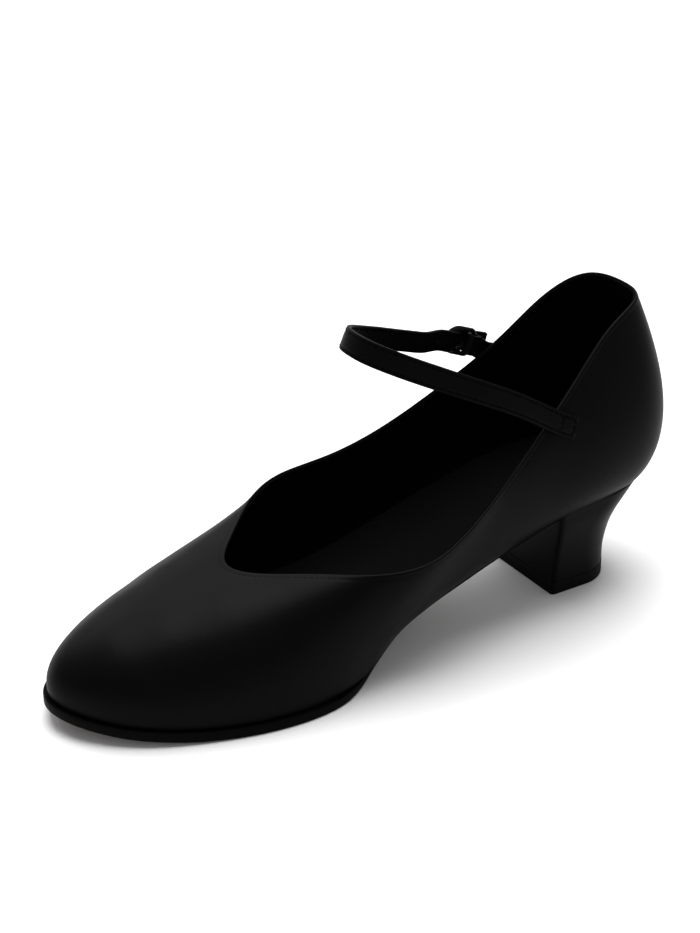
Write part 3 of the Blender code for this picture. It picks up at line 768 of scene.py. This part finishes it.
def sides_at(outline, x):
    """The inner and outer y of a closed plan line at each x."""
    back, front = int(np.argmin(outline[:, 0])), int(np.argmax(outline[:, 0]))
    loop = np.roll(outline, -back, axis=0)
    front = (front - back) % len(outline)
    inner, outer = loop[: front + 1], np.vstack([loop[front:], loop[:1]])[::-1]
    return np.interp(x, inner[:, 0], inner[:, 1]), np.interp(x, outer[:, 0], outer[:, 1])


def plate(shape, layers, stations, across, cut=None, crown=None):
    """A flat piece between stacked outlines: each layer is (inset(x), height(x)), lowest first."""
    outlines = [shape.foot_outline(inset) for inset, _ in layers]
    count = len(layers)
    loop = 2 * (count + across)

    def place(u, v):
        turn = 0.5 * math.pi * u if cut is not None else math.pi * u
        k = np.round(v * loop).astype(int) % loop
        points = np.zeros((len(u), 3))
        for station in np.unique(k):
            here = k == station
            if station < count:
                layer, share = station, 0.0
            elif station < count + across:
                layer, share = count - 1, (station - count + 1) / (across + 1)
            elif station < 2 * count + across:
                layer, share = 2 * count + across - 1 - station, 1.0
            else:
                layer, share = 0, 1.0 - (station - 2 * count - across + 1) / (across + 1)
            outline, height = outlines[layer], layers[layer][1]
            low, high = outline[:, 0].min(), outline[:, 0].max()
            if cut is None:
                x = low + (high - low) * 0.5 * (1 - np.cos(turn[here]))
            else:
                x = cut + (high - cut) * np.sin(turn[here])
            inner, outer = sides_at(outline, x)
            inner = np.where(u[here] == 1.0, 0.5 * (inner + outer), inner)
            outer = np.where(u[here] == 1.0, inner, outer)
            if cut is None:
                inner = np.where(u[here] == 0.0, 0.5 * (inner + outer), inner)
                outer = np.where(u[here] == 0.0, inner, outer)
            y = inner + (outer - inner) * share
            z = height(x)
            if crown is not None and layer == count - 1:
                z = z + crown(x, 2 * share - 1)
            points[here] = np.column_stack([x, y, z])
        return points

    return sheet_of(stations, loop, place)


def from_waist(waist, forepart, x):
    """A size that changes from its value at the waist to its value at the forepart."""
    return waist + (forepart - waist) * blend(LEDGE_FROM, LEDGE_TO, x)


def make_outsole(shape, materials):
    """Leather sole with an inked, slightly rounded edge and a bevelled waist."""

    def edge(cut_in):
        return lambda x: cut_in(x) - from_waist(WAIST_LEDGE, WELT_LEDGE, x)

    def low_round(share):
        angle = 0.5 * math.pi * share
        return (
            edge(lambda x: from_waist(WAIST_BEVEL, EDGE_ROUND, x) * (1 - math.sin(angle))),
            lambda x: steady_curve(SOLE_LINE, x)
            + from_waist(WAIST_BEVEL_RISE, EDGE_ROUND, x) * (1 - math.cos(angle)),
        )

    def high_round(share):
        angle = 0.5 * math.pi * share
        return (
            edge(lambda x: TOP_EDGE_ROUND * (1 - math.cos(angle)) + 0 * x),
            lambda x: sole_top(x) - TOP_EDGE_ROUND * (1 - math.sin(angle)),
        )

    layers = [low_round(share) for share in np.linspace(0, 1, 6)]
    layers += [(edge(lambda x: 0 * x), lambda x: 0.5 * (steady_curve(SOLE_LINE, x) + sole_top(x)))]
    layers += [high_round(share) for share in np.linspace(0, 1, 4)]
    work = plate(shape, layers, stations=200, across=24, cut=BREAST_TOP + GAP)
    bmesh.ops.recalc_face_normals(work, faces=work.faces)
    for face in work.faces:
        x = face.calc_center_median().x / MM
        slope = 0.5 * float(steady_curve(SOLE_LINE, x + 1) - steady_curve(SOLE_LINE, x - 1))
        down = Vector((slope, 0, -1)).normalized()
        face.material_index = 1 if face.normal.dot(down) > UNDERSIDE_FROM else 0
    piece = finished(work, "leather_outsole", materials, sharp_from=35.0)
    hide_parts("outsole")


def make_insole(shape, material):
    """Sock-covered insole, slightly dished, with its outer edge curled up a little."""

    def crown(x, side):
        curled = blend(*CURL_BEGINS, x) * (1 - blend(*CURL_ENDS, x))
        curl = np.where(side > 0, OUTER_CURL, INNER_CURL) * curled
        return (INSOLE_DISH + curl) * np.abs(side) ** DISH_POWER

    def layer(further, share):
        return (
            lambda x: INSOLE_INSET + further + 0 * x,
            lambda x: sole_top(x) + GAP + share * INSOLE_THICKNESS,
        )

    layers = [layer(*step) for step in INSOLE_EDGE]
    work = plate(shape, layers, stations=200, across=40, crown=crown)
    piece = finished(work, "sock_insole", [material])
    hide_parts("insole")


def make_margin(shape, material):
    """The upper's lower edge, turned in under the insole and cemented down: it closes the joint."""
    layers = (
        (lambda x: MARGIN_INSET + 0 * x, lambda x: sole_top(x) + MARGIN_LIFT),
        (lambda x: MARGIN_INSET + 0 * x, lambda x: sole_top(x) + GAP - MARGIN_LIFT),
    )
    work = plate(shape, layers, stations=160, across=8)
    finished(work, "lasting_margin", [material])


# Heel

def heel_outline(level, grow, count):
    """One section of the heel: flat breast, small front corners, straight sides and a round back."""
    rows = np.array(HEEL_SECTIONS)
    front, half, back, share = (
        float(steady_curve(rows[:, (0, k)].tolist(), level)) for k in range(1, 5)
    )
    front, half, back = front + grow, half + grow, back - grow
    corner, depth = BREAST_CORNER, share * half
    centre = back + depth
    line = [(front, 0.0)]
    for angle in np.radians(np.linspace(0, 90, CORNER_POINTS)):
        x, y = corner * math.cos(angle), corner * math.sin(angle)
        line.append((front - corner + x, half - corner + y))
    for angle in np.linspace(0.5 * math.pi, math.pi, BACK_POINTS):
        line.append((centre + depth * math.cos(angle), half * math.sin(angle)))
    inner = np.array(line)
    loop = np.vstack([inner, inner[-2:0:-1] * (1, -1)])
    closed = np.vstack([loop, loop[:1]])
    travelled = np.concatenate(([0], np.cumsum(np.linalg.norm(np.diff(closed, axis=0), axis=1))))
    wanted = np.linspace(0, travelled[-1], count, endpoint=False)
    return np.column_stack([np.interp(wanted, travelled, closed[:, k]) for k in range(2)])


def heel_solid(levels, seated):
    """A heel piece through (level, grow) sections; a seated one follows the sole's line at its top."""
    rings = []
    for level, grow in levels:
        plan = heel_outline(level, grow, HEEL_AROUND)
        height = np.full(HEEL_AROUND, float(level))
        if seated:
            height += (sole_top(plan[:, 0]) - HEEL_TOP_LEVEL) * (level / HEEL_TOP_LEVEL) ** SEAT_POWER
        rings.append(np.column_stack([plan, height]))
    rings = np.array(rings)

    def place(u, v):
        i = np.round(u * HEEL_AROUND).astype(int) % HEEL_AROUND
        k = np.round(v * (len(rings) - 1)).astype(int)
        return rings[k, i]

    return sheet_of(HEEL_AROUND, len(rings) - 1, place)


def heel_levels(low, high, foot, rows, top, grow):
    """Sections of a heel piece between two levels: its lower round, plain rows and upper round."""
    after, before, count = rows
    levels = [(low + step, grow + change) for step, change in foot]
    levels += [(level, grow) for level in np.linspace(low + after, high - before, count)]
    return levels + [(high + step, grow + change) for step, change in top]


def make_heel(cover, rubber):
    low = TIP_HEIGHT + TIP_SEAM
    levels = heel_levels(low, HEEL_TOP_LEVEL, BLOCK_FOOT, BLOCK_ROWS, BLOCK_TOP, 0.0)
    block = finished(heel_solid(levels, True), "covered_heel", [cover], sharp_from=50.0)
    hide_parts("heel_block")
    levels = heel_levels(0.0, TIP_HEIGHT, TIP_FOOT, TIP_ROWS, TIP_TOP, TIP_OVERHANG)
    tip = finished(heel_solid(levels, False), "rubber_heel_tip", [rubber], sharp_from=50.0)
    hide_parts("heel_tip")


# Strap, tab and buckle

def strap_line(shape, buckle, count):
    lift = GAP + STRAP_THICKNESS / 2
    seat = [shape.lifted(t, h, lift + slack) for t, h, slack in STRAP_SEAT]
    over_bar = WIRE + GAP + TAB_THICKNESS + GAP + STRAP_THICKNESS / 2
    under_rim = FRAME_TILT - WIRE - GAP - STRAP_THICKNESS / 2
    through_buckle = [
        buckle.place(along, 0, under_rim + (over_bar - under_rim) * share + lift_off)
        for along, share, lift_off in THROUGH_BUCKLE
    ]
    points = seat + [np.array(p, float) for p in STRAP_LOOP] + through_buckle
    middle, travelled = even_points(points, count)
    start = shape.normal(*STRAP_SEAT[0][:2])[0]
    sewn = np.cross(directions(middle)[0], start)
    sewn *= np.sign(sewn.dot(np.array(STRAP_AXIS)))
    share = blend(*STRAP_TURNS, travelled)[:, None]
    guide = unit(sewn) * (1 - share) + strap_axis(middle[:, 1]) * share
    across, through = ribbon_frames(middle, guide)
    return middle, travelled, across, through


def make_strap(shape, buckle, leather, thread):
    """Folded strap leather, sewn along both edges, with two rows of stitches across its root."""
    middle, travelled, across, through = strap_line(shape, buckle, count=420)
    length = travelled[-1]
    seam_at = STRAP_WIDTH / 2 - SEAM_INSET

    def relief(a, distance):
        seam = hump(seam_at, SEAM_WIDTH, np.abs(a))
        for row in ROOT_SEAMS:
            seam = np.maximum(seam, hump(row, SEAM_WIDTH, distance) * (np.abs(a) < seam_at))
        pull = 1 + PUCKER * np.cos(2 * math.pi * distance / STITCH_PITCH)
        pull = pull + PULL * np.sin(PULL_RATE * distance + a)
        pillow = STRAP_PILLOW * np.cos(0.5 * math.pi * np.clip(a / seam_at, -1, 1))
        punched = sum(
            1 - blend(HOLE_EDGE * HOLE_RADIUS, HOLE_RADIUS, np.hypot(a, length - distance - hole))
            for hole in HOLES_FROM_END
        )
        return pillow - SEAM_DIP * seam * pull - HOLE_DEPTH * punched

    end = np.clip(np.minimum(travelled, length - travelled) / END_LENGTH, 0, 1)
    scale = 1 - END_NARROWS + END_NARROWS * np.sqrt(end)
    section = bar_section(STRAP_WIDTH, STRAP_THICKNESS, STRAP_CORNER)
    work = swept(middle, across, through, section, relief, scale)
    strap = finished(work, "instep_strap", [leather], sharp_from=60.0)
    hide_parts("strap")
    work = bmesh.new()
    inside = (travelled > SEAM_STARTS) & (travelled < length - SEAM_STARTS)
    surface = STRAP_THICKNESS / 2 - STITCH_BED
    for side in (-1, 1):
        for face in (-1, 1):
            line = middle[inside] + side * seam_at * across[inside] + face * surface * through[inside]
            sew(work, line, face * through[inside], STITCH_PITCH, STITCH_LENGTH, THREAD_RADIUS)
    for row in ROOT_SEAMS:
        cross_seam(work, int(np.searchsorted(travelled, row)), middle, across, through, seam_at, surface)
    finished(work, "strap_stitching", [thread])


def cross_seam(work, at, middle, across, through, half, surface):
    """A row of stitches across a ribbon, on the face that looks away from the foot."""
    outer_face = np.sign(through[at].dot(middle[at] - FOOT_MIDDLE))
    step = np.linspace(-half, half, CROSS_STEPS)[:, None]
    line = middle[at] + step * across[at] + outer_face * surface * through[at]
    normals = np.tile(outer_face * through[at], (CROSS_STEPS, 1))
    sew(work, line, normals, CROSS_PITCH, CROSS_LENGTH, THREAD_RADIUS)


def make_tab(shape, buckle, leather, thread):
    """Short tab, sewn to the outer quarter and folded round the buckle's bar."""
    lift = GAP + TAB_THICKNESS / 2
    seat = [shape.lifted(t, h, lift + slack) for t, h, slack in TAB_SEAT]
    wrap = WIRE + GAP + TAB_THICKNESS / 2
    fold = [
        buckle.place(wrap * math.cos(angle), 0, wrap * math.sin(angle))
        for angle in np.radians(np.linspace(*TAB_FOLD))
    ]
    points = seat + [buckle.place(*TAB_RISE)] + fold + [buckle.place(*TAB_END)]
    middle, travelled = even_points(points, count=160)
    along = unit(middle[TAB_SEWN_POINTS] - middle[0])
    sewn = np.cross(shape.normal(*TAB_SEAT[1][:2])[0], along)
    sewn *= np.sign(sewn.dot(np.array(STRAP_AXIS)))
    share = blend(*TAB_TURNS, travelled)[:, None]
    guide = unit(sewn) * (1 - share) + buckle.across * share
    across, through = ribbon_frames(middle, guide)
    section = bar_section(TAB_WIDTH, TAB_THICKNESS, TAB_CORNER, flat_steps=12)
    work = swept(middle, across, through, section)
    tab = finished(work, "buckle_strap_tab", [leather], sharp_from=60.0)
    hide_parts("buckle_tab")
    bar_at = int(np.argmin(np.linalg.norm(middle - buckle.place(0, 0, wrap), axis=1)))
    half, surface = TAB_WIDTH / 2 - SEAM_INSET, TAB_THICKNESS / 2 - TAB_STITCH_BED
    work = bmesh.new()
    for row in (travelled[bar_at] - TAB_SEAM, TAB_SEAM_LOW):
        cross_seam(work, int(np.searchsorted(travelled, row)), middle, across, through, half, surface)
    finished(work, "tab_stitching", [thread])


def frame_loop(steps):
    """Middle line of the buckle's frame: a straight bar at the back and a round front."""
    back, front = FRAME_BAR_RADIUS, FRAME_FRONT_RADIUS
    # Middle of each corner along and across the strap, its radius and the angle where it starts
    corners = (
        (back, FRAME_HALF_WIDTH - back, back, 90),
        (back, back - FRAME_HALF_WIDTH, back, 180),
        (FRAME_LENGTH - front, front - FRAME_HALF_WIDTH, front, 270),
        (FRAME_LENGTH - front, FRAME_HALF_WIDTH - front, front, 0),
    )
    loop = []
    for along, across, radius, first in corners:
        for angle in np.radians(np.linspace(first, first + 90, steps)):
            loop.append((along + radius * math.cos(angle), across + radius * math.sin(angle)))
    return loop


def make_buckle(buckle, metal):
    """Wire frame whose front is flattened to a wider rim, and the prong curled round its bar."""
    tilt = unit(FRAME_LENGTH * buckle.forward + FRAME_TILT * buckle.out)
    square = np.cross(tilt, buckle.across)
    corner = buckle.bar + FRAME_UP * buckle.across
    loop = np.array([corner + a * tilt + c * buckle.across for a, c in frame_loop(steps=18)])
    loop = np.vstack([loop, loop[:1]])
    along = unit(np.roll(loop[:-1], -1, axis=0) - np.roll(loop[:-1], 1, axis=0))
    along = np.vstack([along, along[:1]])
    side = unit(np.cross(square, along))
    front = blend(RIM_FROM_BAR, FRAME_LENGTH - RIM_FROM_FRONT, (loop - buckle.bar) @ tilt)[:, None]
    towards_middle = corner + 0.5 * FRAME_LENGTH * tilt - loop
    inward = np.sign(np.sum(side * towards_middle, axis=1))[:, None]
    loop = loop + FRAME_RIM * WIRE * front * side * inward
    side = side * (1 + FRAME_RIM * front)
    work = swept(loop, side, np.tile(square, (len(loop), 1)), ring_section(WIRE, count=20))
    piece = finished(work, "buckle_wire_frame", [metal], sharp_from=60.0)
    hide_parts("buckle_frame")
    curl = WIRE + GAP + PRONG
    rest = FRAME_TILT + WIRE + GAP + PRONG
    line = [(curl * math.cos(angle), curl * math.sin(angle)) for angle in np.radians(PRONG_CURL)]
    line += [(along_bar, curl + (rest - curl) * share + lift) for along_bar, share, lift in PRONG_RUN]
    middle, travelled = even_points([buckle.place(a, 0, b) for a, b in line], count=130)
    across, through = ribbon_frames(middle, np.tile(buckle.across, (len(middle), 1)))
    end = np.clip(np.minimum(travelled, travelled[-1] - travelled) / PRONG, 0, 1)
    scale = np.sqrt(np.clip(1 - (1 - end) ** 2, PRONG_END, 1))
    work = swept(middle, across, through, ring_section(PRONG, count=16), scale=scale)
    piece = finished(work, "buckle_wire_prong", [metal], sharp_from=60.0)
    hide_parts("buckle_prong")


# Stage

def make_stage():
    work = bmesh.new()
    bmesh.ops.create_grid(work, x_segments=1, y_segments=1, size=FLOOR_HALF)
    mesh = bpy.data.meshes.new("floor")
    work.to_mesh(mesh)
    work.free()
    # Painted board, rolled matt white: an even pale ground that a faint glow keeps clean
    material, _, shader = new_material("matt painted studio floor", FLOOR_COLOUR, 0.9, specular=0.1)
    shader.inputs["Emission Color"].default_value = WHITE
    shader.inputs["Emission Strength"].default_value = FLOOR_GLOW
    mesh.materials.append(material)
    floor = bpy.data.objects.new("floor", mesh)
    bpy.context.scene.collection.objects.link(floor)


def softbox(name, place, width, depth, power):
    data = bpy.data.lights.new(name, "AREA")
    data.shape = "RECTANGLE"
    data.size, data.size_y = width, depth
    data.energy = power
    light = bpy.data.objects.new(name, data)
    light.location = place
    light.rotation_euler = (Vector(LIT_POINT) - Vector(place)).to_track_quat("-Z", "Y").to_euler()
    bpy.context.scene.collection.objects.link(light)


def make_lights():
    for row in SOFTBOXES:
        softbox(*row)
    world = bpy.data.worlds.new("pale studio")
    world.use_nodes = True
    background = world.node_tree.nodes["Background"]
    background.inputs["Color"].default_value = WHITE
    background.inputs["Strength"].default_value = STUDIO_LIGHT
    bpy.context.scene.world = world


def make_camera():
    data = bpy.data.cameras.new("camera")
    data.sensor_fit = "VERTICAL"
    data.sensor_height = SENSOR_HEIGHT
    data.lens = CAMERA_LENS
    camera = bpy.data.objects.new("camera", data)
    columns = (Vector(CAMERA_RIGHT), Vector(CAMERA_UP), -Vector(CAMERA_FORWARD))
    turn = Matrix(columns).transposed().to_4x4()
    camera.matrix_world = Matrix.Translation(CAMERA_PLACE) @ turn
    bpy.context.scene.collection.objects.link(camera)
    bpy.context.scene.camera = camera


def main():
    shape, buckle = Upper(), Buckle()
    leather = {use: grained_leather(*row) for use, row in LEATHERS.items()}
    # Spun polyester: dull black, so that the strap's stitches read as dark dashes
    thread = new_material("spun black thread", "#030303", 0.7, specular=0.02)[0]
    # Fine waxed thread of the topline: as black and glossy as the calf, so that it hardly shows
    fine_thread = new_material("fine waxed thread", "#050505", 0.5, specular=0.032)[0]
    # Steel wire, plated with black nickel and tumbled: dark metal with soft bright points
    nickel = new_material("black nickel plated wire", "#2c2c2e", 0.34, metallic=1.0)[0]

    upper = wall_shell(shape, "leather_upper", 0.0, LEATHER, 0.0, [leather["calf"]])
    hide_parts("upper")
    lining = [leather["lining"]]
    wall_shell(shape, "upper_lining", LINING_FROM, UPPER_WALL, LINING_DROP, lining)
    topline_seam(shape, fine_thread)
    make_margin(shape, leather["calf"])
    make_outsole(shape, [leather["edge"], leather["sole"]])
    make_insole(shape, leather["sock"])
    make_heel(leather["heel"], leather["rubber"])
    make_strap(shape, buckle, leather["strap"], thread)
    make_tab(shape, buckle, leather["strap"], thread)
    make_buckle(buckle, nickel)
    make_stage()
    make_lights()
    make_camera()
    bpy.context.scene.view_settings.view_transform = "Standard"


main()
